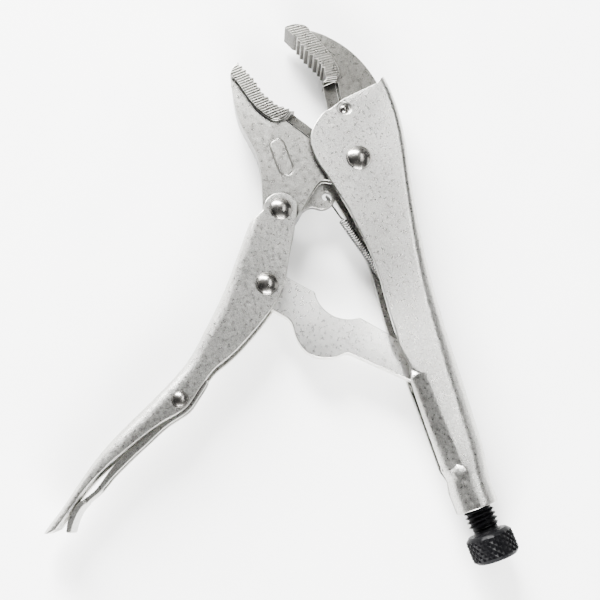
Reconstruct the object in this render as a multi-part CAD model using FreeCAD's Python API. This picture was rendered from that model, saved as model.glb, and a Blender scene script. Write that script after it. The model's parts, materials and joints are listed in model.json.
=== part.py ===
import FreeCAD, Part
import math
import os

# Locking pliers, nominal 250 mm. Millimetres.
# Working frame: the main pivot is the origin, +X runs along the screw axis to the jaws,
# +Y is the side of the moving lever, +Z is one flank. The last step moves the whole tool so that
# it lies on z = 0 with the middle of its box over the origin.

Vec = FreeCAD.Vector

# driving dimensions
jaw_lever_pivot = (-11.5, 40.0)
link_pivot = (-41.0, 56.5)
link_foot = (-95.5, 8.5)
release_pivot = (-74.5, 104.2)
front_rivet = (24.5, -2.5)
spring_hole = (-10.5, 18.4)
spring_anchor = (-62.2, 6.2)
screw_axis_y = 8.5

plate_half = 4.0          # half thickness of the two jaw plates
head_half = 5.5           # half thickness of the toothed heads
sheet = 2.5               # sheet steel of the two handles
side_play = 0.1           # gap between a moving plate and the cheek beside it
cheek_in = plate_half + side_play
cheek_out = cheek_in + sheet
tube_radius = 8.4
screw_radius = 6.0        # M12 thread, drawn at its crest
screw_fit = 0.06
hinge_fit = 0.05
rivet_fit = 0.01
tail_x = -152.3
thread_start_x = -139.0
dimple_radius = 3.2       # sunk ring round the small front rivet
dimple_depth = 0.7
dent_place = (-138.4, 11.5)   # pressed hollow on each flank of the tail
dent_ball = 9.0
dent_depth = 1.0

tooth_depth = 1.1
cutter_flat = 0.35        # half of the flat left on the wire cutter's edge
cutter_run = 6.3          # width of the ground flank beside it
cutter_step = 0.9         # how far that flank starts below the plate's face
groove_depth = 1.7        # narrow groove between the plate's face and the ground flank
groove_width = 0.9
stamp_depth = 0.2
spring_tab_half = 1.25    # half thickness of the jaw's tab for the spring
finger_half = 1.0         # half thickness of the handle's finger for the spring
link_half = 2.4
link_foot_radius = 5.8
link_boss_radius = 6.0    # pads inside the lever that keep the link in the middle
release_half = 3.6
release_sheet = 1.8
spoon_half = 5.6
spoon_radius = 9.5
spring_radius = 1.95
wire_radius = 0.4
knob_front_x = -162.0
knob_back_x = -172.4
knob_radius = 9.4
knob_chamfer = 1.5
neck_radius = 5.2
foot_gap = 5.8            # free space between the link's foot and the screw tip
past_all = 20.0           # reaches past every flank

# rivets: place, shank radius, half grip, head radius, head height
rivets = {
    "main_pivot_rivet": ((0.0, 0.0), 4.0, cheek_out + 0.06, 5.1, 2.3),
    "jaw_lever_rivet": (jaw_lever_pivot, 3.5, cheek_out, 4.4, 2.0),
    "link_rivet": (link_pivot, 3.4, cheek_out, 4.3, 2.0),
    "release_rivet": (release_pivot, 2.0, cheek_out + 0.03, 2.8, 1.2),
    "fixed_jaw_rivet": (front_rivet, 1.7, cheek_out - dimple_depth, 2.0, 1.3),
}


def point(xy, z=0.0):
    return Vec(xy[0], xy[1], z)


def outline(start, steps):
    """Closed face on z = 0. A step is a point for a straight run, ("arc", middle, end) for an arc,
    or ("curve", points) for one smooth curve through the points."""
    edges = []
    here = start
    for step in steps + [start]:
        if step[0] == "arc":
            edges.append(Part.Arc(point(here), point(step[1]), point(step[2])).toShape())
            here = step[2]
        elif step[0] == "curve":
            curve = Part.BSplineCurve()
            curve.interpolate([point(p) for p in [here] + step[1]])
            edges.append(curve.toShape())
            here = step[1][-1]
        elif step != here:
            edges.append(Part.makeLine(point(here), point(step)))
            here = step
    return Part.Face(Part.Wire(edges))


def slab(face, low, high):
    """The face made solid between two heights."""
    body = face.copy()
    body.translate(Vec(0, 0, low))
    return body.extrude(Vec(0, 0, high - low))


def disc(xy, radius, low, high):
    return Part.makeCylinder(radius, high - low, point(xy, low))


def twin_disc(xy, radius, low, high):
    """A disc on each flank, from low to high away from the middle plane."""
    return disc(xy, radius, low, high).fuse(disc(xy, radius, -high, -low))


def saw(first, last, count, depth, outward):
    """Points of a row of teeth from first to last, with roots pushed in by depth against outward."""
    points = []
    for i in range(count):
        for part, push in ((0.5, depth), (1.0, 0.0)):
            t = (i + part) / count
            x = first[0] + (last[0] - first[0]) * t
            y = first[1] + (last[1] - first[1]) * t
            points.append((x - outward[0] * push, y - outward[1] * push))
    return points


def curved_saw(stops, counts, depth, outward):
    """A row of teeth along a bent line: one straight group between each two stops."""
    points = []
    for first, last, count in zip(stops[:-1], stops[1:], counts):
        points += saw(first, last, count, depth, outward)
    return points


def rounded_section(back, inward, depth, half, radius, low_radius):
    """Closed wire across a channel: corners of one radius at the back, of another at the mouth."""
    def at(u, z):
        return Vec(back[0] + inward[0] * u, back[1] + inward[1] * u, z)

    def corner(cu, cz, r, su, sz):
        k = r * math.sqrt(0.5)
        return cu + su * k, cz + sz * k

    r = radius
    m = low_radius
    a = at(depth - m, half)
    b = at(r, half)
    c = at(0, half - r)
    d = at(0, r - half)
    e = at(r, -half)
    f = at(depth - m, -half)
    g = at(depth, m - half)
    h = at(depth, half - m)
    return Part.Wire([
        Part.makeLine(a, b),
        Part.Arc(b, at(*corner(r, half - r, r, -1, 1)), c).toShape(),
        Part.makeLine(c, d),
        Part.Arc(d, at(*corner(r, r - half, r, -1, -1)), e).toShape(),
        Part.makeLine(e, f),
        Part.Arc(f, at(*corner(depth - m, m - half, m, 1, -1)), g).toShape(),
        Part.makeLine(g, h),
        Part.Arc(h, at(*corner(depth - m, half - m, m, 1, 1)), a).toShape(),
    ])


def channel(stations, inset):
    """Bent sheet channel as one solid, its faces inset all round. A station is the point on the
    back, the angle from back to mouth, the half width, the back's corner radius and the depth."""
    wires = []
    for back, angle, half, radius, depth in stations:
        way = (math.cos(math.radians(angle)), math.sin(math.radians(angle)))
        start = (back[0] + way[0] * inset, back[1] + way[1] * inset)
        wires.append(rounded_section(start, way, depth, half - inset, radius - inset, 0.4))
    return Part.makeLoft(wires, True, False)


def rivet(place, shank, grip, head, height):
    """Round shank with a domed head on each flank."""
    rim = 0.3
    rise = height - rim
    ball = (head * head + rise * rise) / (2 * rise)
    whole = disc((0, 0), shank, -grip, grip)
    for side in (1, -1):
        low = grip if side > 0 else -grip - height
        dome = Part.makeSphere(ball, Vec(0, 0, side * (grip + height - ball)))
        whole = whole.fuse(dome.common(disc((0, 0), head, low, low + height)))
    whole = whole.removeSplitter()
    whole.translate(point(place))
    return whole


def cheek_holes(names, extra):
    """Through holes for the named rivets, wider than their shanks by extra."""
    holes = [disc(rivets[n][0], rivets[n][1] + extra, -past_all, past_all) for n in names]
    return holes[0].fuse(holes[1:]) if len(holes) > 1 else holes[0]


def make_spring_tab():
    """Finger lanced up from the channel's back, with the hole for the spring's rear hook."""
    tab = outline((-64.0, -8.0), [(-64.0, 6.5), ("arc", (-62.2, 8.3), (-60.4, 6.5)), (-60.4, -8.6)])
    hook_hole = disc(spring_anchor, 0.75, -past_all, past_all)
    return slab(tab, -finger_half, finger_half).cut(hook_hole)


def make_fixed_handle():
    """Sheet channel that closes to a tube at the tail, where it is threaded for the screw."""
    backs = [((38, -26.2), 6.6, 4.4), ((25, -26.9), 6.6, 4.4), ((12, -25.6), 6.6, 4.4),
             ((-5, -21.8), 6.6, 4.5), ((-22, -17.4), 6.7, 4.8), ((-40, -13.4), 7.3, 5.6),
             ((-58, -10.2), 8.0, 6.6), ((-75, -8.1), 8.35, 7.4), ((-90, -6.7), 8.4, 7.8),
             ((-105, -5.5), 8.4, 8.1), ((-120, -4.0), 8.4, 8.2), ((-132, -2.7), 8.4, 8.2),
             ((-141, -0.8), 8.3, 8.1), ((-147, -0.1), 8.4, 8.2), ((tail_x, 0.1), 8.4, 8.2)]
    stations = [(back, 90, half, radius, 60) for back, half, radius in backs]
    outer = channel(stations, 0)
    hollow = channel(stations, sheet)

    def cap(sections, inset):
        """Full height in front of the shoulder, then a round top about the screw axis."""
        wires = [rounded_section((x, -40), (0, 1), top + 40 - inset, half - inset, 0.2,
                                 max(radius - inset, 0.3)) for x, half, top, radius in sections]
        front = Part.makeBox(140, 120, 40, Vec(sections[0][0], -50, -20))
        return Part.makeLoft(wires, True, True).fuse(front)

    top = screw_axis_y + tube_radius
    outer = outer.common(cap([(-84, 9.2, 24, 0.4), (-97, 8.42, top, 8.3), (-135, 8.42, top, 8.3),
                              (-139.5, 8.3, top - 1.1, 8.1), (-144, 8.42, top, 8.3),
                              (tail_x - 1, 8.42, top, 8.3)], 0))
    hollow = hollow.common(cap([(-84, 9.2, 19, 0.4), (-97, 8.42, top, 8.3),
                                (thread_start_x, 8.42, top, 8.3)], sheet))
    side = outline((36.5, -40), [
        (35.2, -26.0), (31.9, -21.0), (29.2, -4.2), (26.2, 3.6),
        ("curve", [(25.6, 6.5), (22.9, 10.7), (19.6, 14.1), (15.6, 16.6), (11.5, 17.6),
                   (6.4, 17.7), (1.5, 17.0), (-4.6, 15.6), (-11.2, 14.3), (-18.9, 13.0),
                   (-25.2, 12.3), (-33.7, 11.6), (-47.0, 11.2), (-59.5, 12.4), (-79.9, 14.4)]),
        ("curve", [(-85.5, 14.7), (-90.0, 14.0), (-95.4, 14.6), (-102.0, 15.4)]),
        (-133.0, 16.6), (-136.0, 22), (-160, 22), (-160, -40)])
    handle = outer.cut(hollow).common(slab(side, -12, 12))
    mouth = outline((-80.0, 5.8), [
        ("curve", [(-88.0, 5.0), (-98.0, 3.2), (-107.0, 1.9)]), (-133.0, 1.6), (-139.0, 0.35),
        (-160.0, 0.35), (-160.0, -0.35), (-139.0, -0.35), (-133.0, -1.6), (-107.0, -1.9),
        ("curve", [(-98.0, -3.2), (-88.0, -5.0), (-80.0, -5.8)])])
    mouth.rotate(Vec(0, 0, 0), Vec(1, 0, 0), 90)
    mouth.translate(Vec(0, 30, 0))
    handle = handle.cut(mouth.extrude(Vec(0, screw_axis_y - 30, 0)))
    for radius, first_x, last_x in ((screw_radius + screw_fit, tail_x - 5, thread_start_x),
                                    (screw_radius + 0.35, thread_start_x - 1, -98.0)):
        handle = handle.cut(Part.makeCylinder(radius, last_x - first_x,
                                              Vec(first_x, screw_axis_y, 0), Vec(1, 0, 0)))
    names = ["main_pivot_rivet", "fixed_jaw_rivet"]
    handle = handle.cut(cheek_holes(names, rivet_fit))
    handle = handle.cut(twin_disc(front_rivet, dimple_radius, cheek_out - dimple_depth, past_all))
    for flank in (1, -1):
        handle = handle.cut(tail_dent(flank))
    return handle.fuse(make_spring_tab()).removeSplitter()


def tail_dent(flank):
    """Ball that presses one hollow into the round tail, square to the tail's surface there."""
    tilt = math.asin((dent_place[1] - screw_axis_y) / tube_radius)
    reach = tube_radius + dent_ball - dent_depth
    centre = Vec(dent_place[0], screw_axis_y + reach * math.sin(tilt), flank * reach * math.cos(tilt))
    return Part.makeSphere(dent_ball, centre)


def make_fixed_jaw():
    """Forged jaw: a plate held between the cheeks and a wider toothed head."""
    teeth = curved_saw([(66.9, 6.0), (58.4, 3.7), (50.1, 0.0), (45.4, -1.0)], [3, 3, 2],
                       tooth_depth, (-0.31, 0.95))
    head = outline((72.4, 8.3), [(66.9, 6.0)] + teeth + [
        (41.9, -0.8), (41.0, -5.6),
        ("curve", [(42.4, -7.1), (46.3, -7.6), (53.8, -6.5), (61.0, -4.3), (67.4, -2.1)]),
        ("curve", [(69.6, -1.6), (71.9, 1.2), (72.9, 5.0), (72.4, 8.3)])])
    plate = outline((68.0, -2.9), [
        ("curve", [(64.0, -7.9), (60.0, -11.5), (54.4, -15.4), (48.3, -18.4), (40.0, -21.0),
                   (34.0, -22.0)]),
        (17.0, -21.6), (13.4, -14.5), ("arc", (14.5, -8.0), (13.6, -1.0)), (18.0, 1.3),
        (24.0, 3.8), (41.0, 1.0), (42.4, -1.8), (48.0, -2.8), (60.0, 1.5), (66.5, 0.0)])
    jaw = slab(plate, -plate_half, plate_half).fuse(slab(head, -head_half, head_half))
    jaw = jaw.removeSplitter()
    for flank in (1, -1):
        jaw = jaw.cut(cutter_bevel((41.0, 1.0), (20.5, 4.376), flank, 1))
    return jaw.cut(cheek_holes(["fixed_jaw_rivet"], rivet_fit))


def cutter_bevel(first, last, flank, facing):
    """Grinds one flank of a plate's edge down to the wire cutter's middle line, behind a narrow
    groove. The edge runs towards the tail, and facing is 1 where it looks to +Y, -1 to -Y."""
    start = point(first)
    way = point(last) - start
    length = way.Length
    way.normalize()
    out = way.cross(Vec(0, 0, 1)) * facing
    steps = [(-cutter_run, plate_half + 0.01), (-cutter_run, plate_half - groove_depth),
             (groove_width - cutter_run, plate_half - groove_depth),
             (groove_width - cutter_run, plate_half - cutter_step), (0, cutter_flat),
             (4.0, cutter_flat), (4.0, plate_half + 0.01)]
    ring = [start + out * across + Vec(0, 0, flank * height) for across, height in steps]
    return Part.Face(Part.makePolygon(ring + ring[:1])).extrude(way * length)


def make_movable_jaw():
    """Forged jaw that turns on the main pivot, with a thin tab for the return spring."""
    teeth = curved_saw([(61.6, 34.1), (52.0, 30.2), (43.2, 28.4), (36.1, 24.6), (32.6, 20.2)],
                       [4, 3, 3, 2], tooth_depth, (0.43, -0.9))
    head = outline((61.6, 34.1), teeth + [
        ("curve", [(29.6, 24.2), (29.6, 27.6), (32.5, 30.9), (39.6, 34.7), (46.6, 36.6),
                   (53.5, 38.3), (56.9, 39.6)]),
        ("curve", [(58.8, 38.4), (60.4, 36.6), (61.6, 34.1)])])
    plate = outline((56.5, 39.4), [
        ("curve", [(52.9, 40.3), (44.3, 42.0), (36.8, 42.9), (30.7, 42.6), (22.5, 41.5),
                   (15.0, 41.1), (8.9, 42.0), (2.5, 43.6), (-4.0, 45.6), (-9.6, 46.8)]),
        ("arc", (-16.4, 44.8), (-18.3, 39.0)), (-17.7, 35.6),
        ("curve", [(-14.7, 32.2), (-10.7, 27.7), (-5.7, 22.1), (-4.0, 18.9), (-5.1, 15.5)]),
        (-9.4, 5.2), ("arc", (-5.0, -9.4), (10.6, -1.5)), (10.6, 3.0), (14.5, 9.0),
        (16.4, 9.2), (31.4, 18.2), (34.0, 26.0), (46.0, 32.0), (56.5, 35.0)])
    tab = outline((-7.5, 11.0), [
        (-10.5, 14.1), ("curve", [(-13.4, 15.7), (-15.3, 18.6), (-15.3, 22.8), (-13.2, 26.3),
                                  (-13.6, 30.1), (-16.0, 34.5)]),
        (-8.0, 34.0), (0.0, 20.0)])
    jaw = slab(plate, -plate_half, plate_half).fuse(slab(head, -head_half, head_half))
    jaw = jaw.fuse(slab(tab, -spring_tab_half, spring_tab_half)).removeSplitter()
    for flank in (1, -1):
        jaw = jaw.cut(cutter_bevel((31.4, 18.2), (14.9, 8.3), flank, -1))
        jaw = jaw.cut(jaw_stamp(flank))
    names = ["main_pivot_rivet", "jaw_lever_rivet"]
    return jaw.cut(cheek_holes(names, hinge_fit)).cut(disc(spring_hole, 2.1, -past_all, past_all))


def jaw_stamp(flank):
    """Shallow empty stadium outline pressed into one flank."""
    first = (17.7, 31.1)
    last = (6.5, 31.3)

    def stadium(radius):
        up = (first[0], first[1] + radius)
        low = (first[0], first[1] - radius)
        end_up = (last[0], last[1] + radius)
        end_low = (last[0], last[1] - radius)
        return outline(up, [("arc", (first[0] + radius, first[1]), low), end_low,
                            ("arc", (last[0] - radius, last[1]), end_up)])

    ring = stadium(3.5).cut(stadium(3.0))
    face = flank * plate_half
    return slab(ring, face - stamp_depth, face + stamp_depth)


def along(points, halves, radii, depths):
    """Channel stations on a bent back line, each square to the line there."""
    stations = []
    for i, here in enumerate(points):
        before = points[max(i - 1, 0)]
        after = points[min(i + 1, len(points) - 1)]
        angle = math.degrees(math.atan2(after[1] - before[1], after[0] - before[0])) + 90
        stations.append((here, angle, halves[i], radii[i], depths[i]))
    return stations


def make_lever_handle():
    """Sheet channel from the eye at the jaw to the flared lip at the hand end."""
    back = [(6.0, 40.4), (-5.2, 49.0), (-16.5, 57.7), (-27.0, 65.8), (-38.6, 75.2), (-50.0, 86.2),
            (-59.8, 96.6), (-67.0, 108.2), (-72.8, 119.6), (-78.5, 131.0), (-85.2, 142.0),
            (-92.5, 151.4), (-99.5, 160.2), (-105.5, 168.0)]
    halves = [6.6] * len(back)
    radii = [4.0, 4.0, 4.2, 4.6, 5.0, 5.4, 5.8, 6.0, 6.1, 6.1, 6.1, 6.1, 6.0, 6.0]
    depths = [34, 34, 34, 30, 26, 24, 24, 24, 22, 20, 18, 16, 14, 12]
    stations = along(back, halves, radii, depths)
    outer = channel(stations, 0)
    hollow = channel([(b, a, h, r, d + 6) for b, a, h, r, d in stations], sheet)
    side = outline((-11.5, 32.7), [
        ("arc", (-4.2, 40.0), (-9.7, 47.1)), (-14.6, 59.5), (-60.0, 112.0), (-92.0, 164.0),
        (-103.0, 172.0), (-105.4, 165.4), (-105.2, 162.0), (-102.6, 158.4),
        ("curve", [(-96.7, 151.0), (-91.2, 142.0), (-85.4, 127.8), (-82.2, 119.0),
                   (-80.3, 111.9), (-79.3, 106.3), (-77.6, 102.0), (-73.2, 96.4), (-70.0, 92.0),
                   (-67.5, 88.3), (-65.3, 82.7), (-59.5, 71.0), (-51.6, 58.8), (-45.5, 52.0),
                   (-35.5, 45.4), (-28.3, 41.5), (-22.2, 37.9), (-17.5, 35.3), (-11.5, 32.7)])])
    lever = outer.cut(hollow).common(slab(side, -12, 12))
    boss = twin_disc(link_pivot, link_boss_radius, link_half + 0.2, cheek_in + 0.5)
    names = ["jaw_lever_rivet", "link_rivet", "release_rivet"]
    return lever.fuse(boss).cut(cheek_holes(names, rivet_fit)).removeSplitter()


def make_toggle_link():
    """Stamped strut from the lever to the screw tip."""
    side = outline((-36.5, 50.1), [
        (-49.8, 38.5), ("arc", (-62.4, 34.0), (-65.9, 24.8)), (-79.1, 13.6), (-93.0, 3.5),
        ("arc", (-101.2, 7.6), (-98.6, 13.4)), (-79.4, 33.2),
        ("curve", [(-78.1, 36.0), (-78.2, 39.9), (-77.1, 44.5), (-74.1, 49.0), (-69.3, 51.6),
                   (-63.9, 52.3), (-59.6, 52.0), (-56.1, 53.2)]),
        (-47.6, 60.6), ("arc", (-35.6, 62.1), (-36.5, 50.1))])
    return slab(side, -link_half, link_half).cut(cheek_holes(["link_rivet"], hinge_fit))


def make_release_lever():
    """Small pressed channel open to the front, with a spoon-shaped thumb end."""
    side = outline((-70.6, 91.6), [
        ("curve", [(-72.6, 93.6), (-76.2, 98.0), (-79.0, 101.8), (-80.7, 106.9), (-82.8, 114.2),
                   (-85.4, 119.8), (-88.9, 127.6), (-91.2, 132.3), (-94.2, 138.0), (-97.7, 143.6),
                   (-99.3, 147.7), (-101.0, 151.2), (-103.6, 154.0), (-107.6, 156.6)]),
        ("arc", (-107.9, 157.9), (-106.4, 158.0)),
        ("curve", [(-102.6, 156.0), (-100.0, 153.2), (-97.9, 149.6), (-96.6, 145.6),
                   (-94.0, 141.6), (-90.4, 136.7), (-87.6, 131.6), (-84.6, 125.4),
                   (-80.4, 117.0), (-77.0, 112.0)]),
        ("arc", (-70.4, 105.6), (-69.6, 99.0)), (-68.4, 93.0)])
    trough = outline((-60.0, 88.0), [
        (-84.0, 92.0), (-91.0, 125.0), (-99.0, 138.0), (-98.0, 143.4),
        ("curve", [(-95.0, 141.4), (-91.4, 135.6), (-88.4, 130.4), (-85.4, 124.0),
                   (-81.6, 116.0), (-78.6, 111.0), (-74.2, 107.6), (-72.0, 103.0)]),
        (-60.0, 100.0)])
    inner = release_half - release_sheet
    lever = slab(side, -release_half, release_half).cut(slab(trough, -inner, inner))
    round_end = disc((-102.6, 158.0), spoon_radius, -past_all, past_all)
    spoon = slab(side, -spoon_half, spoon_half).common(round_end)
    return lever.fuse(spoon).cut(cheek_holes(["release_rivet"], hinge_fit)).removeSplitter()


def make_return_spring():
    """Plain envelope of the extension spring: a round bar between its two hook holes."""
    start = Vec(spring_hole[0], spring_hole[1] - 0.6, 0)
    end = point(spring_anchor)
    way = end - start
    way.normalize()
    tab_reach = 5.8
    coil_start = 13.0
    eye_reach = 2.4
    coil_end = 3.2
    first = start + way * coil_start
    last = end - way * coil_end
    coil = Part.makeCylinder(spring_radius, (last - first).Length, first, way)
    hook = Part.makeCylinder(wire_radius, coil_start - tab_reach, start + way * tab_reach, way)
    eye = Part.makeCylinder(wire_radius, coil_end - eye_reach, last, way)
    return coil.fuse([hook, eye]).removeSplitter()


def make_adjusting_screw():
    """Threaded rod, chamfered at the tip, with its round knob in one piece."""
    tip_x = link_foot[0] - link_foot_radius - foot_gap
    profile = [(tip_x, 0), (tip_x, 4.4), (tip_x - 1.6, screw_radius),
               (knob_front_x + 1.8, screw_radius), (knob_front_x + 1.0, neck_radius),
               (knob_front_x, neck_radius), (knob_front_x, 7.6),
               (knob_front_x - knob_chamfer, knob_radius),
               (knob_back_x + knob_chamfer, knob_radius), (knob_back_x, 7.9), (knob_back_x, 0)]
    face = Part.Face(Part.makePolygon([point(p) for p in profile + profile[:1]]))
    screw = face.revolve(Vec(0, 0, 0), Vec(1, 0, 0), 360)
    screw.translate(Vec(0, screw_axis_y, 0))
    return screw


def build():
    parts = {
        "fixed_handle": make_fixed_handle(),
        "fixed_jaw": make_fixed_jaw(),
        "movable_jaw": make_movable_jaw(),
        "lever_handle": make_lever_handle(),
        "toggle_link": make_toggle_link(),
        "release_lever": make_release_lever(),
        "return_spring": make_return_spring(),
        "adjusting_screw": make_adjusting_screw(),
    }
    for name, (place, shank, grip, head, height) in rivets.items():
        parts[name] = rivet(place, shank, grip, head, height)
    return parts


def place_on_ground(parts):
    """Moves every part alike, so that the whole lies on z = 0 with its box centred on the origin."""
    box = Part.makeCompound(list(parts.values())).optimalBoundingBox(False)
    shift = Vec(-box.Center.x, -box.Center.y, -box.ZMin)
    for shape in parts.values():
        shape.translate(shift)
    return shift, box


os.makedirs("parts", exist_ok=True)
pieces = build()
shift, box = place_on_ground(pieces)
for name, shape in pieces.items():
    shape.exportStep("parts/" + name + ".step")
    print(name, "valid" if shape.isValid() else "NOT VALID", len(shape.Solids), "solid",
          round(shape.Volume), "mm3")
print("moved by", round(shift.x, 3), round(shift.y, 3), round(shift.z, 3))
print("size", round(box.XLength, 1), round(box.YLength, 1), round(box.ZLength, 1))
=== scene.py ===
import bpy
import bmesh
import json
import math
from mathutils import Matrix, Vector
from mathutils.bvhtree import BVHTree


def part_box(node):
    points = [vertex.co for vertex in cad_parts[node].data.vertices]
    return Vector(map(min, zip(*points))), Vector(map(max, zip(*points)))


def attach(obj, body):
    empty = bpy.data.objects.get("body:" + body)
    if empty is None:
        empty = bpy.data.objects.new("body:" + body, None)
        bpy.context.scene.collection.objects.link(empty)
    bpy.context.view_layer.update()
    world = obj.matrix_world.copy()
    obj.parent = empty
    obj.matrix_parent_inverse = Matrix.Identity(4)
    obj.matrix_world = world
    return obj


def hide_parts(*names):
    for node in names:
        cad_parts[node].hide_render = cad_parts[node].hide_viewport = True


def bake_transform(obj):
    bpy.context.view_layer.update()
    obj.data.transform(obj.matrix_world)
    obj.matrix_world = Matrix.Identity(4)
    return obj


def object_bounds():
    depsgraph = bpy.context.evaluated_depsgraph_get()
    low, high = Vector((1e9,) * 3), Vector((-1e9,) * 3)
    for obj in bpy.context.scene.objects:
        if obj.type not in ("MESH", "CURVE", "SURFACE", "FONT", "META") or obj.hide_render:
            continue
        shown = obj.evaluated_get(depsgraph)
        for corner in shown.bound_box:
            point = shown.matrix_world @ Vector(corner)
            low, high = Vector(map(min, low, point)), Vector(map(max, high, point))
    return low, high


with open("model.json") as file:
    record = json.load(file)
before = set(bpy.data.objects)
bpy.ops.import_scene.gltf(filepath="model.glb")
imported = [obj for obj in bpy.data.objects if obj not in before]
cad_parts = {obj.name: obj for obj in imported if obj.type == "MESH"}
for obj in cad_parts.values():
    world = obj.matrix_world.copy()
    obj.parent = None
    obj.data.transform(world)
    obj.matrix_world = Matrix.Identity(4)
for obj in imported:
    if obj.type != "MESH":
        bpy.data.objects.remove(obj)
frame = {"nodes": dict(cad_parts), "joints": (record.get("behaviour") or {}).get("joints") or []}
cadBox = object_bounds()
nodes = frame["nodes"]
joints = {joint["name"]: joint for joint in frame["joints"]}
mm = 0.001
mainPivot = Vector(joints["jaw_pivot"]["pos_m"])   # the big rivet; lengths below are mm from it
print("frame loaded:", len(nodes), "CAD nodes")


# colour and shader helpers

def linearColour(hexColour):
    channels = [int(hexColour[i:i + 2], 16) / 255 for i in (1, 3, 5)]
    return tuple(c / 12.92 if c <= 0.04045 else ((c + 0.055) / 1.055) ** 2.4 for c in channels) + (1.0,)


def perMm(size):
    return 1 / (size * mm)   # texture scale for features of this size in millimetres


def addNode(tree, kind, settings=None, links=None):
    node = tree.nodes.new(kind)
    for name, value in (settings or {}).items():
        if isinstance(name, str) and hasattr(node, name):
            setattr(node, name, value)
        else:
            node.inputs[name].default_value = value
    for name, socket in (links or {}).items():
        tree.links.new(socket, node.inputs[name])
    return node


def newMaterial(name):
    material = bpy.data.materials.new(name)
    material.use_nodes = True
    tree = material.node_tree
    tree.nodes.clear()
    place = addNode(tree, "ShaderNodeTexCoord").outputs["Object"]
    return material, tree, place


def closeMaterial(material, tree, settings, links):
    shader = addNode(tree, "ShaderNodeBsdfPrincipled", settings, links)
    addNode(tree, "ShaderNodeOutputMaterial", None, {"Surface": shader.outputs["BSDF"]})
    return material


def noiseBetween(tree, place, size, low, high, detail=3.0):
    # a value that wanders from low to high over this many mm
    noise = addNode(tree, "ShaderNodeTexNoise", {"Scale": perMm(size), "Detail": detail}, {"Vector": place})
    # the noise itself seldom leaves 0.3 to 0.7
    limits = {"From Min": 0.3, "From Max": 0.7, "To Min": low, "To Max": high}
    spread = addNode(tree, "ShaderNodeMapRange", limits, {"Value": noise.outputs["Fac"]})
    return spread.outputs["Result"]


def mottled(tree, place, size, first, second, detail=3.0):
    # two tones that drift into each other over this many mm
    tones = {"data_type": "RGBA", 6: linearColour(first), 7: linearColour(second)}
    drift = noiseBetween(tree, place, size, 0.0, 1.0, detail)
    return addNode(tree, "ShaderNodeMix", tones, {0: drift}).outputs[2]


def pitted(tree, place, size, depth, detail, under=None):
    # pits of this size and depth in mm, on top of the relief under them
    pits = addNode(tree, "ShaderNodeTexNoise", {"Scale": perMm(size), "Detail": detail}, {"Vector": place})
    links = {"Height": pits.outputs["Fac"]}
    if under:
        links["Normal"] = under
    return addNode(tree, "ShaderNodeBump", {"Strength": 1.0, "Distance": depth * mm}, links).outputs["Normal"]


# painted shade in crevices, at steps and between parts
creviceShade = {
    "colour": "#1E1D1A", "share": 0.95,
    "reach": 1.8,              # mm between two surfaces where painted shade still reaches
    "openness": (0.5, 0.96),   # share of open sky: full painted shade at the first, none at the second
}


def paintCreviceShade(tree, colour):
    # painted shade: the colour darkens where two surfaces meet and close off the sky
    sky = addNode(tree, "ShaderNodeAmbientOcclusion", {"Distance": creviceShade["reach"] * mm, "samples": 6})
    closed, clear = creviceShade["openness"]
    shadeAmount = addNode(tree, "ShaderNodeMapRange",
                     {"From Min": closed, "From Max": clear, "To Min": creviceShade["share"], "To Max": 0.0},
                     {"Value": sky.outputs["AO"]})
    mix = addNode(tree, "ShaderNodeMix", {"data_type": "RGBA", 7: linearColour(creviceShade["colour"])},
                  {0: shadeAmount.outputs["Result"], 6: colour})
    return mix.outputs[2]


def speckled(tree, place, look):
    # soft patches of two tones, with lighter and darker specks of blasting grit over them
    base = addNode(tree, "ShaderNodeMix", {"data_type": "RGBA", 0: look["speckShare"]},
                   {6: mottled(tree, place, look["cloud"], look["light"], look["dark"], 1.0),
                    7: mottled(tree, place, look["speck"], look["speckLight"], look["speckDark"], 2.0)})
    return base.outputs[2]


# materials

plateLook = {
    "light": "#ADACA8", "dark": "#9A9994",
    "speckLight": "#DDDCD8", "speckDark": "#5E5D58", "speckShare": 0.6,
    "cloud": 22.0,        # mm, faint soft patches in the plating
    "speck": 0.384, "grain": 0.48,   # mm; blasting grit leaves 0.2 mm pits, drawn coarser so that they show
    "grainDepth": 0.07,
    "sway": 34.0, "swayDepth": 3.0,   # mm; the shallow rises that pressing leaves in a flat sheet
    "roughness": (0.25, 0.35), "roughPatch": 1.44,
}


def satinNickel(name, look):
    # bright nickel over bead-blasted sheet: soft even sheen, a fine pitted grain and faint cloudy patches
    material, tree, place = newMaterial(name)
    low, high = look["roughness"]
    rises = pitted(tree, place, look["sway"], look["swayDepth"], 0.0)
    return closeMaterial(material, tree, {"Metallic": 1.0}, {
        # painted shade in crevices over the speckled colour
        "Base Color": paintCreviceShade(tree, speckled(tree, place, look)),
        "Roughness": noiseBetween(tree, place, look["roughPatch"], low, high),
        "Normal": pitted(tree, place, look["grain"], look["grainDepth"], 2.0, rises),
    })


handleMetal = satinNickel("satinNickelFixedHandle", plateLook)
leverMetal = satinNickel("satinNickelLever", dict(plateLook, light="#BAB9B4", dark="#A9A8A3",
                         speckLight="#D8D7D3", speckDark="#55544F"))
linkMetal = satinNickel("brightNickelLink", dict(plateLook, light="#EDECE8", dark="#E0DFDB",
                        speckLight="#F8F7F3", speckDark="#BDBCB7", speckShare=0.45))


edgeLook = {"light": "#A6A5A0", "dark": "#84837E", "streak": 3.0, "roughness": (0.26, 0.4)}


def deburredEdge(look):
    # the corner left where the sheet was tumbled: smoother than the faces beside it
    material, tree, place = newMaterial("tumbledNickelEdge")
    low, high = look["roughness"]
    return closeMaterial(material, tree, {"Metallic": 1.0}, {
        "Base Color": mottled(tree, place, look["streak"], look["light"], look["dark"]),
        "Roughness": noiseBetween(tree, place, look["streak"], low, high),
    })


edgeMetal = deburredEdge(edgeLook)


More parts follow.
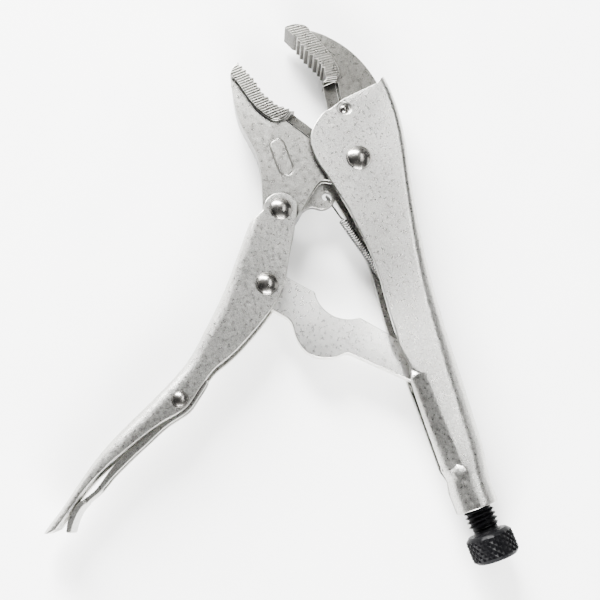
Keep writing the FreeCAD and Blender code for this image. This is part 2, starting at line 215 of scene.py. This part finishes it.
jawLook = {
    "light": "#9D9C97", "dark": "#8D8C87", "speckLight": "#C3C2BD", "speckDark": "#504F4B", "speckShare": 0.5,
    "cloud": 16.0, "speck": 0.44, "grain": 0.55, "grainDepth": 0.05,   # mm, drawn coarser as on the sheet
    "grooves": 1.25,       # mm between the cutter marks across a toothed head
    "grooveDepth": 0.06, "grooveAngle": -84,   # degrees from the screw's axis
    "headFrom": 5.2,       # mm from the middle plane: only the toothed head stands this far out
    "grooveShade": "#262522", "grooveShadeShare": (0.72, 1.0),   # painted shade over the toothed head: its share on the crest of a cutter mark and between two of them
    "side": "#3E3D3A", "sideShadeShare": 0.7,   # painted shade: sides square to the flat faces are darkened
    "sideShadeTilt": (0.3, 0.6),                # cosines of the tilt where the painted shade is full and where it is gone
    "roughness": (0.25, 0.35), "roughPatch": 2.2,
}


def milledForging(name, look):
    # drop-forged steel under thin nickel: fine satin grain, and cutter marks across the toothed head. Painted
    # shade darkens the head, most in its cutter marks, and the sides square to the flat faces.
    material, tree, place = newMaterial(name)
    axes = addNode(tree, "ShaderNodeSeparateXYZ", None, {"Vector": place})
    offPlane = addNode(tree, "ShaderNodeMath", {"operation": "SUBTRACT", 1: mainPivot.z},
                       {0: axes.outputs["Z"]})
    away = addNode(tree, "ShaderNodeMath", {"operation": "ABSOLUTE"}, {0: offPlane.outputs["Value"]})
    onHead = addNode(tree, "ShaderNodeMath", {"operation": "GREATER_THAN", 1: look["headFrom"] * mm},
                     {0: away.outputs["Value"]})
    turned = addNode(tree, "ShaderNodeMapping", {"Rotation": (0, 0, -math.radians(look["grooveAngle"] + 90))},
                     {"Vector": place})
    # one full wave for each mark: the wave texture runs 20 radians per unit at scale 1
    bands = {"Scale": 2 * math.pi / 20 * perMm(look["grooves"]), "bands_direction": "X", "Distortion": 0.6,
             "Detail": 1.0}
    waves = addNode(tree, "ShaderNodeTexWave", bands, {"Vector": turned.outputs["Vector"]})
    marks = addNode(tree, "ShaderNodeMath", {"operation": "MULTIPLY"},
                    {0: waves.outputs["Fac"], 1: onHead.outputs["Value"]})
    # painted shade: the whole toothed head is darkened, most of all down in the cutter marks
    onCrest, inMark = look["grooveShadeShare"]
    markShade = addNode(tree, "ShaderNodeMapRange", {"To Min": inMark, "To Max": onCrest},
                   {"Value": waves.outputs["Fac"]})
    grooveShadeAmount = addNode(tree, "ShaderNodeMath", {"operation": "MULTIPLY"},
                   {0: markShade.outputs["Result"], 1: onHead.outputs["Value"]})
    headShaded = addNode(tree, "ShaderNodeMix", {"data_type": "RGBA", 7: linearColour(look["grooveShade"])},
                    {0: grooveShadeAmount.outputs["Value"], 6: speckled(tree, place, look)})
    # painted shade by facing: the more a face turns away from the flat faces, the darker it is painted
    facing = addNode(tree, "ShaderNodeSeparateXYZ", None,
                     {"Vector": addNode(tree, "ShaderNodeTexCoord").outputs["Normal"]})
    tilt = addNode(tree, "ShaderNodeMath", {"operation": "ABSOLUTE"}, {0: facing.outputs["Z"]})
    full, gone = look["sideShadeTilt"]
    scale = addNode(tree, "ShaderNodeMapRange",
                    {"From Min": full, "From Max": gone, "To Min": look["sideShadeShare"], "To Max": 0.0},
                    {"Value": tilt.outputs["Value"]})
    sideShaded = addNode(tree, "ShaderNodeMix", {"data_type": "RGBA", 7: linearColour(look["side"])},
                    {0: scale.outputs["Result"], 6: headShaded.outputs[2]})
    ridges = addNode(tree, "ShaderNodeBump", {"Strength": 1.0, "Distance": look["grooveDepth"] * mm},
                     {"Height": marks.outputs["Value"],
                      "Normal": pitted(tree, place, look["grain"], look["grainDepth"], 2.0)})
    low, high = look["roughness"]
    return closeMaterial(material, tree, {"Metallic": 1.0}, {
        # painted shade in crevices over the head and side colour
        "Base Color": paintCreviceShade(tree, sideShaded.outputs[2]),
        "Roughness": noiseBetween(tree, place, look["roughPatch"], low, high),
        "Normal": ridges.outputs["Normal"],
    })


movableJawMetal = milledForging("milledForgingMovableJaw", jawLook)
fixedJawMetal = milledForging("milledForgingFixedJaw", dict(jawLook, light="#5F5E59", dark="#52514C",
                              speckLight="#7D7C77", speckDark="#3C3B38", grooveDepth=0.05, grooveAngle=-92,
                              grooveShadeShare=(0.3, 0.6)))


rivetLook = {"light": "#83817D", "dark": "#6B6965", "patch": 4.0, "roughPatch": 2.0,
             "scratch": 0.7, "scratchDepth": 0.003, "roughness": (0.2, 0.3)}
wireLook = dict(rivetLook, light="#6F6E6B", dark="#464543", scratch=0.6, scratchDepth=0.004,
                roughness=(0.22, 0.36))


def polishedSteel(name, look):
    # headed or drawn steel: bright and smooth, with hair scratches that soften the reflections a little
    material, tree, place = newMaterial(name)
    low, high = look["roughness"]
    return closeMaterial(material, tree, {"Metallic": 1.0}, {
        "Base Color": mottled(tree, place, look["patch"], look["light"], look["dark"]),
        "Roughness": noiseBetween(tree, place, look["roughPatch"], low, high),
        "Normal": pitted(tree, place, look["scratch"], look["scratchDepth"], 4.0),
    })


rivetMetal = polishedSteel("tumbledRivetSteel", rivetLook)
wireMetal = polishedSteel("drawnSpringWire", wireLook)


oxideLook = {"light": "#0A0A0B", "dark": "#040405", "patch": 2.5, "grain": 0.6, "grainDepth": 0.01,
             "roughness": (0.24, 0.36)}


def blackOxide(look):
    # blackened turned steel, lightly oiled: near black, with small sharp glints on crests
    material, tree, place = newMaterial("blackOxideOnTurnedSteel")
    low, high = look["roughness"]
    return closeMaterial(material, tree, {"Metallic": 0.0, "IOR": 1.5, "Specular IOR Level": 0.03}, {
        "Base Color": mottled(tree, place, look["patch"], look["light"], look["dark"]),
        "Roughness": noiseBetween(tree, place, look["patch"], low, high),
        "Normal": pitted(tree, place, look["grain"], look["grainDepth"], 3.0),
    })


oxideMetal = blackOxide(oxideLook)
print("materials made")


# mesh helpers

def meshObject(name, bm, materials):
    mesh = bpy.data.meshes.new(name)
    bm.to_mesh(mesh)
    bm.free()
    if "custom_normal" in mesh.attributes:
        mesh.attributes.remove(mesh.attributes["custom_normal"])
    for material in materials:
        mesh.materials.append(material)
    thing = bpy.data.objects.new(name, mesh)
    bpy.context.scene.collection.objects.link(thing)
    return thing


def smoothUnder(bm, angle):
    for face in bm.faces:
        face.smooth = True
    for edge in bm.edges:
        edge.smooth = edge.is_manifold and edge.calc_face_angle(0) < math.radians(angle)


def weightNormals(thing):
    # big flat faces stay flat, and the narrow rounded corners take all of the turn
    weighted = thing.modifiers.new("flatFaces", "WEIGHTED_NORMAL")
    weighted.keep_sharp = True
    weighted.weight = 80
    return thing


rounding = {
    "merge": 0.002, "flat": 0.4,   # mm and degrees: what is joined before the corners are broken
    "sharpFrom": 32,               # degrees between two faces that make a corner
    "steps": 2, "leash": 0.45,     # mm that a new point may stand off the old surface
    "smooth": 50,
}


def roundedCopy(nodeName, name, materials, corner):
    # the CAD node again with its hard corners broken by a small radius in mm, as tumbling leaves them
    bm = bmesh.new()
    bm.from_mesh(nodes[nodeName].data)
    bmesh.ops.remove_doubles(bm, verts=bm.verts, dist=rounding["merge"] * mm)
    bmesh.ops.dissolve_limit(bm, angle_limit=math.radians(rounding["flat"]), verts=bm.verts, edges=bm.edges)
    for face in bm.faces:
        face.material_index = 0
    skin = BVHTree.FromBMesh(bm)
    sharpFrom = math.radians(rounding["sharpFrom"])
    sharp = [edge for edge in bm.edges if edge.is_manifold and edge.calc_face_angle(0) > sharpFrom]
    bmesh.ops.bevel(bm, geom=sharp, offset=corner * mm, offset_type="OFFSET", segments=rounding["steps"],
                    profile=0.5, affect="EDGES", clamp_overlap=False, material=1, loop_slide=True)
    for vert in bm.verts:
        nearest, normal, index, distance = skin.find_nearest(vert.co)
        if distance > rounding["leash"] * mm:
            vert.co = nearest   # a corner that the bevel pulled off the surface goes back to it
    bmesh.ops.triangulate(bm, faces=[face for face in bm.faces if len(face.verts) > 4], ngon_method="BEAUTY")
    smoothUnder(bm, rounding["smooth"])
    return weightNormals(meshObject(name, bm, materials))


def pieceName(how, nodeName):
    return how + nodeName.replace("_", " ").title().replace(" ", "")   # such as forgedMovableJaw


def standIn(piece, nodeName, body):
    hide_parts(nodeName)
    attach(piece, body)
    return piece


# pressed handles, link and release lever: the body, the metal, and the corner radius in mm

pressed = {
    "fixed_handle": ("handle", handleMetal, 0.35),
    "lever_handle": ("lever", leverMetal, 0.35),
    "toggle_link": ("link", linkMetal, 0.4),
    "release_lever": ("release", handleMetal, 0.3),
}
for nodeName, (body, metal, corner) in pressed.items():
    piece = roundedCopy(nodeName, pieceName("pressed", nodeName), [metal, edgeMetal], corner)
    standIn(piece, nodeName, body)
print("pressed sheet pieces rounded")


# forged jaws

forged = {"movable_jaw": ("jaw", movableJawMetal, 0.22), "fixed_jaw": ("handle", fixedJawMetal, 0.2)}
for nodeName, (body, metal, corner) in forged.items():
    piece = roundedCopy(nodeName, pieceName("forged", nodeName), [metal, edgeMetal], corner)
    standIn(piece, nodeName, body)
print("jaws rounded")


# lathe-turned and coiled pieces

def lathe(profile, around, axis):
    # a profile of (along, radius) points in mm turned about the axis, which is (start, direction)
    start, direction = axis
    side = direction.orthogonal().normalized()
    other = direction.cross(side)
    bm = bmesh.new()
    rings = []
    for along, radius in profile:
        centre = start + direction * along * mm
        if radius == 0:
            rings.append([bm.verts.new(centre)])
            continue
        ring = []
        for i in range(around):
            turn = 2 * math.pi * i / around
            ring.append(bm.verts.new(centre + (side * math.cos(turn) + other * math.sin(turn)) * radius * mm))
        rings.append(ring)
    for first, second in zip(rings, rings[1:]):
        for i in range(around):
            j = (i + 1) % around
            # a ring at the axis is a single point, and its doubles are dropped from the face
            corners = [first[i % len(first)], second[i % len(second)],
                       second[j % len(second)], first[j % len(first)]]
            face = [v for k, v in enumerate(corners) if v not in corners[:k]]
            if len(face) > 2:
                bm.faces.new(face)
    return bm


def closeUp(bm):
    bmesh.ops.remove_doubles(bm, verts=bm.verts, dist=0.001 * mm)
    bmesh.ops.recalc_face_normals(bm, faces=bm.faces)
    return bm


# rivets: a domed head over a thin flange that the press leaves, on both flanks

rivetShape = {
    "around": 64, "domeSteps": 9,
    "flange": 0.45, "smallFlange": 0.2,   # mm; a head under 2.5 mm in radius gets the small one
    "flangeHeight": 0.28, "edge": 0.35,
    "sunk": 0.05,                         # mm that the flange reaches into the sheet
}
rivets = {
    # the body it rides on, and its head's radius and height in mm
    "main_pivot_rivet": ("handle", 5.1, 2.3),
    "fixed_jaw_rivet": ("handle", 2.0, 1.3),
    "jaw_lever_rivet": ("lever", 4.4, 2.0),
    "link_rivet": ("lever", 4.3, 2.0),
    "release_rivet": ("lever", 2.8, 1.2),
}


def domeProfile(radius, height):
    # (height over the sheet, radius) from the middle of the dome out to its rim
    rise = height - rivetShape["edge"]
    ball = (radius ** 2 + rise ** 2) / (2 * rise)
    reach = math.asin(radius / ball)
    turns = [reach * i / rivetShape["domeSteps"] for i in range(rivetShape["domeSteps"] + 1)]
    return [(height - ball + ball * math.cos(turn), ball * math.sin(turn)) for turn in turns]


def rivetProfile(radius, height, sheetFace):
    flange = rivetShape["flange"] if radius > 2.5 else rivetShape["smallFlange"]
    top = rivetShape["flangeHeight"]
    sunk = rivetShape["sunk"]
    head = domeProfile(radius - 0.15, height)
    head += [(top + 0.08, radius - 0.05), (top, radius + 0.02), (top - 0.04, radius + flange - 0.12),
             (0.1, radius + flange), (-sunk, radius + flange), (-sunk, radius * 0.6)]
    near = [(sheetFace + along, out) for along, out in head]
    return near + [(-along, out) for along, out in reversed(near)]


for nodeName, (body, radius, height) in rivets.items():
    low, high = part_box(nodeName)
    sheetFace = (high.z - low.z) / 2 / mm - height
    axis = ((low + high) / 2, Vector((0, 0, 1)))
    turned = lathe(rivetProfile(radius, height, sheetFace), rivetShape["around"], axis)
    smoothUnder(closeUp(turned), 35)
    standIn(meshObject(pieceName("headed", nodeName), turned, [rivetMetal]), nodeName, body)
print("rivets turned")


# adjusting screw: rolled thread, plain neck, knurled knob

screwShape = {
    "crest": 5.93, "pitch": 1.75, "threadDepth": 1.05, "threadAround": 56,
    "runOut": 1.4,             # mm over which the thread fades at each end
    "neckLength": 1.6, "neckRadius": 5.0,
    "knobRadius": 9.35, "knobLength": 10.4, "chamfer": 1.5, "chamferDrop": 0.85,
    "faceRadius": 7.6,         # the flat end of the knob
    "dishRadius": 5.2, "dishDepth": 0.25,
    "knurlPitch": 1.3, "knurlDepth": 0.42,
}
threadBreaks = (0.0, 0.125, 0.4375, 0.6875)   # shares of a pitch: crest, falling flank, root, rising flank
screwLow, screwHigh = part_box("adjusting_screw")
knobFace = Vector((screwLow.x, (screwLow.y + screwHigh.y) / 2, (screwLow.z + screwHigh.z) / 2))
screwLength = (screwHigh.x - screwLow.x) / mm


def onScrew(along, radius, turn):
    # a point this far in mm from the knob's face and from the screw's axis
    return knobFace + Vector((along, radius * math.cos(turn), radius * math.sin(turn))) * mm


def threadHeight(phase):
    # radius of an ISO thread at this share of its pitch
    crestEnd, rootStart, rootEnd = threadBreaks[1:]
    depth = screwShape["threadDepth"]
    if phase < crestEnd:
        return screwShape["crest"]
    if phase < rootStart:
        return screwShape["crest"] - depth * (phase - crestEnd) / (rootStart - crestEnd)
    if phase < rootEnd:
        return screwShape["crest"] - depth
    return screwShape["crest"] - depth * (1 - phase) / (1 - rootEnd)


def threadedRod(first, last):
    pitch = screwShape["pitch"]
    around = screwShape["threadAround"]
    turns = int((last - first) / pitch) + 2
    stations = [(turn + share) * pitch for turn in range(-1, turns) for share in threadBreaks]
    bm = bmesh.new()
    rows = []
    for i in range(around):
        row = []
        for station in stations:
            along = first + station + pitch * i / around
            fade = max(0.0, min(1.0, min(along - first, last - along) / screwShape["runOut"]))
            highest = screwShape["crest"] - screwShape["threadDepth"] * (1 - fade)
            radius = min(threadHeight(station / pitch % 1), highest)
            row.append(bm.verts.new(onScrew(max(first, min(last, along)), radius, 2 * math.pi * i / around)))
        rows.append(row)
    for i in range(around):
        here, there = rows[i], rows[(i + 1) % around]
        jump = len(threadBreaks) if i == around - 1 else 0   # one turn on, the thread is a whole pitch along
        for k in range(len(stations) - 1 - jump):
            bm.faces.new((here[k], there[k + jump], there[k + jump + 1], here[k + 1]))
    return closeUp(bm)


rod = threadedRod(screwShape["knobLength"] + screwShape["neckLength"], screwLength)
smoothUnder(rod, 25)
standIn(meshObject("rolledThreadRod", rod, [oxideMetal]), "adjusting_screw", "screw")


def knurlGrid(bm):
    # raised and sunk points alternate both ways, and each cell folds along its high diagonal
    shape = screwShape
    around = 2 * round(math.pi * shape["knobRadius"] / shape["knurlPitch"])
    length = shape["knobLength"] - 2 * shape["chamfer"]
    rows = 2 * round(length / (2 * math.pi * shape["knobRadius"] / around) / 2)
    grid = []
    for j in range(rows + 1):
        along = shape["chamfer"] + length * j / rows
        highest = shape["knobRadius"] - (0.1 if j in (0, rows) else 0)
        ring = []
        for i in range(around):
            radius = highest - (0 if (i + j) % 2 else shape["knurlDepth"])
            ring.append(bm.verts.new(onScrew(along, radius, 2 * math.pi * i / around)))
        grid.append(ring)
    for j in range(rows):
        for i in range(around):
            n = (i + 1) % around
            a, b, c, d = grid[j][i], grid[j][n], grid[j + 1][n], grid[j + 1][i]
            folds = ((a, b, c), (a, c, d)) if (i + j) % 2 == 0 else ((a, b, d), (b, c, d))
            for fold in folds:
                bm.faces.new(fold)
    return grid


def knurledKnob():
    shape = screwShape
    bm = bmesh.new()
    grid = knurlGrid(bm)
    around = len(grid[0])
    shoulder = shape["knobRadius"] - shape["chamferDrop"]
    face, dish, neck = shape["faceRadius"], shape["dishRadius"], shape["neckRadius"]
    back = shape["knobLength"]
    neckEnd = back + shape["neckLength"]
    endFace = [(shape["chamfer"] / 2, shoulder), (0.12, face + 0.25), (0.0, face - 0.1), (0.0, dish),
               (shape["dishDepth"], dish - 0.3), (shape["dishDepth"], 0)]
    backFace = [(back - shape["chamfer"] / 2, shoulder), (back - 0.1, face + 0.2), (back, face),
                (back, neck + 0.5), (back + 0.5, neck), (neckEnd - 0.9, neck - 0.1), (neckEnd + 0.6, neck - 0.4)]
    for profile, last in ((endFace, grid[0]), (backFace, grid[-1])):
        for along, radius in profile:
            if radius == 0:
                tip = bm.verts.new(onScrew(along, 0, 0))
                for i in range(around):
                    bm.faces.new((last[i], last[(i + 1) % around], tip))
                break
            ring = [bm.verts.new(onScrew(along, radius, 2 * math.pi * i / around)) for i in range(around)]
            for i in range(around):
                n = (i + 1) % around
                bm.faces.new((last[i], last[n], ring[n], ring[i]))
            last = ring
    return closeUp(bm)


knob = knurledKnob()
smoothUnder(knob, 18)
knobPiece = meshObject("knurledKnob", knob, [oxideMetal])
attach(knobPiece, "screw")
print("adjusting screw threaded and knurled")


# return spring: close-wound, with a long hook in the jaw's eye and a short one at the anchor

springShape = {
    "hole": (-10.5, 18.4),     # mm from the main pivot to the eye in the jaw's tab
    "anchor": (-62.2, 6.2),    # and to the finger in the handle
    "coilRadius": 1.5, "wire": 0.4, "pitch": 1.15,
    "coilFromHole": 12.4, "coilFromAnchor": 4.4,
    "jawHook": 2.05, "jawHookShift": 1.55, "anchorHook": 1.7,   # mm
    "sides": 8, "stepsPerTurn": 20, "rampSteps": 8,
}


def springLine():
    shape = springShape
    hole = Vector((*shape["hole"], 0))
    anchor = Vector((*shape["anchor"], 0))
    along = (anchor - hole).normalized()
    flat = Vector((0, 0, 1))
    across = flat.cross(along)
    line = []
    for step in range(11):   # hook through the eye: from above the tab, under it and back beside itself
        turn = math.radians(300 - 30 * step)
        line.append(hole + along * (shape["jawHookShift"] - shape["jawHook"] * math.cos(turn))
                    + flat * (shape["jawHook"] * math.sin(turn)))
    coilStart = hole + along * shape["coilFromHole"]
    coilEnd = anchor - along * shape["coilFromAnchor"]
    for step in range(1, 5):   # the long straight leg
        line.append(line[-1] + (coilStart - line[-1]) * 0.16 * step)
    turns = round((coilEnd - coilStart).length / shape["pitch"])
    total = turns * shape["stepsPerTurn"]
    for step in range(total + 1):
        turn = 2 * math.pi * step / shape["stepsPerTurn"]
        ramp = min(1.0, step / shape["rampSteps"], (total - step) / shape["rampSteps"])
        radius = shape["coilRadius"] * (0.15 + 0.85 * ramp)
        line.append(coilStart + (coilEnd - coilStart) * (step / total)
                    + across * (radius * math.cos(turn)) + flat * (radius * math.sin(turn)))
    for step in range(13):   # hook round the finger
        turn = math.radians(-20 + 320 * step / 12)
        line.append(anchor - along * (shape["anchorHook"] * math.cos(turn))
                    + flat * (shape["anchorHook"] * math.sin(turn)))
    return line


def sweptWire(line, radius, sides):
    bm = bmesh.new()
    rings = []
    normal = None
    for i, place in enumerate(line):
        ahead = (line[min(i + 1, len(line) - 1)] - line[max(i - 1, 0)]).normalized()
        if normal is None:
            normal = ahead.orthogonal().normalized()
        normal = (normal - ahead * normal.dot(ahead)).normalized()
        other = ahead.cross(normal)
        ring = []
        for k in range(sides):
            turn = 2 * math.pi * k / sides
            out = (normal * math.cos(turn) + other * math.sin(turn)) * radius
            ring.append(bm.verts.new(mainPivot + (place + out) * mm))
        rings.append(ring)
    for first, second in zip(rings, rings[1:]):
        for k in range(sides):
            n = (k + 1) % sides
            bm.faces.new((first[k], first[n], second[n], second[k]))
    bm.faces.new(rings[0])
    bm.faces.new(reversed(rings[-1]))
    return closeUp(bm)


spring = sweptWire(springLine(), springShape["wire"], springShape["sides"])
smoothUnder(spring, 60)
spring = meshObject("coiledReturnSpring", spring, [wireMetal])
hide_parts("return_spring")
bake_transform(spring)
print("spring coiled")


# floor, light and camera

studio = {
    "floorSize": 2.4,
    "floorLight": "#FBFBFA", "floorDark": "#F5F5F4", "floorPatch": 60.0,   # mm
    "floorGap": 0.0002,          # metres under the tool, so that the two never share a surface
    "rollDegrees": 110,          # how far the pliers lean over in the view, from lying flat
    "pivotInView": (-41.92, -149.02, 300.0),   # mm from the main pivot to the camera, along the view's axes
    "aimInView": (-25.22, -62.72, 0.0),        # mm from the main pivot to the point that the camera looks at
    "lens": 45.0, "sensor": 36.0,
    "brightSky": (0.1, 0.45, 1.0),             # lit overhead, falling off to a dark horizon
    "skyLight": "#B4B5B6", "skyDark": "#242527", "skyStrength": 0.4,
}


def viewToFrame(place):
    # turns a place given along the view's right, up and out into the pliers' own axes
    turn = math.radians(studio["rollDegrees"])
    right, up, out = place
    return Vector((right * math.cos(turn) + up * math.sin(turn),
                   up * math.cos(turn) - right * math.sin(turn), out))


def studioPaper():
    # matt white paper: flat and even, with the slightest mottling
    material, tree, place = newMaterial("studioPaper")
    return closeMaterial(material, tree, {"Roughness": 0.9, "IOR": 1.4}, {
        "Base Color": mottled(tree, place, studio["floorPatch"], studio["floorLight"], studio["floorDark"]),
    })


bm = bmesh.new()
bmesh.ops.create_grid(bm, x_segments=8, y_segments=8, size=studio["floorSize"] / 2)
floor = meshObject("studioFloor", bm, [studioPaper()])
floor.location = (0, 0, cadBox[0][2] - studio["floorGap"])


camera = bpy.data.objects.new("camera", bpy.data.cameras.new("camera"))
bpy.context.scene.collection.objects.link(camera)
camera.data.lens = studio["lens"]
camera.data.sensor_width = studio["sensor"]
camera.location = mainPivot + viewToFrame(studio["pivotInView"]) * mm
aim = mainPivot + viewToFrame(studio["aimInView"]) * mm
away = (camera.location - aim).normalized()
rightward = viewToFrame((0, 1, 0)).cross(away).normalized()
upward = away.cross(rightward)
camera.rotation_euler = Matrix((rightward, upward, away)).transposed().to_euler()
bpy.context.scene.camera = camera


lamps = {
    # where each soft box stands along the view's right, up and out, in metres; its two sides; its power
    "keySoftBox": {"place": (0.42, 0.3, 0.95), "sides": (0.18, 0.9), "power": 8.5},
    "topSoftBox": {"place": (-0.5, 1.15, 0.5), "sides": (1.2, 0.4), "power": 230},
    "frontSoftBox": {"place": (0.0, -1.25, 0.45), "sides": (1.2, 0.4), "power": 165},
    "rightSoftBox": {"place": (1.2, 0.1, 0.35), "sides": (0.3, 0.8), "power": 3},
}
for name, lamp in lamps.items():
    light = bpy.data.lights.new(name, "AREA")
    light.shape = "RECTANGLE"
    light.size, light.size_y = lamp["sides"]
    light.energy = lamp["power"]
    lightObject = bpy.data.objects.new(name, light)
    bpy.context.scene.collection.objects.link(lightObject)
    lightObject.location = aim + viewToFrame(lamp["place"])
    outward = (lightObject.location - aim).normalized()
    side = viewToFrame((0, 1, 0)).cross(outward).normalized()
    lightObject.rotation_euler = Matrix((side, outward.cross(side), outward)).transposed().to_euler()


world = bpy.data.worlds.new("studioSky")
bpy.context.scene.world = world
world.use_nodes = True
skyTree = world.node_tree
skyTree.nodes.clear()
direction = addNode(skyTree, "ShaderNodeTexCoord").outputs["Generated"]
skyUp = viewToFrame(studio["brightSky"]).normalized()
height = addNode(skyTree, "ShaderNodeVectorMath", {"operation": "DOT_PRODUCT", 1: skyUp}, {0: direction})
spread = addNode(skyTree, "ShaderNodeMapRange", {"From Min": 0.25, "From Max": 1.0},
                 {"Value": height.outputs["Value"]})
skyTones = {"data_type": "RGBA", 6: linearColour(studio["skyDark"]), 7: linearColour(studio["skyLight"])}
skyColour = addNode(skyTree, "ShaderNodeMix", skyTones, {0: spread.outputs["Result"]})
sky = addNode(skyTree, "ShaderNodeBackground", {"Strength": studio["skyStrength"]},
              {"Color": skyColour.outputs[2]})
addNode(skyTree, "ShaderNodeOutputWorld", None, {"Surface": sky.outputs["Background"]})
print("stage, camera and light placed")
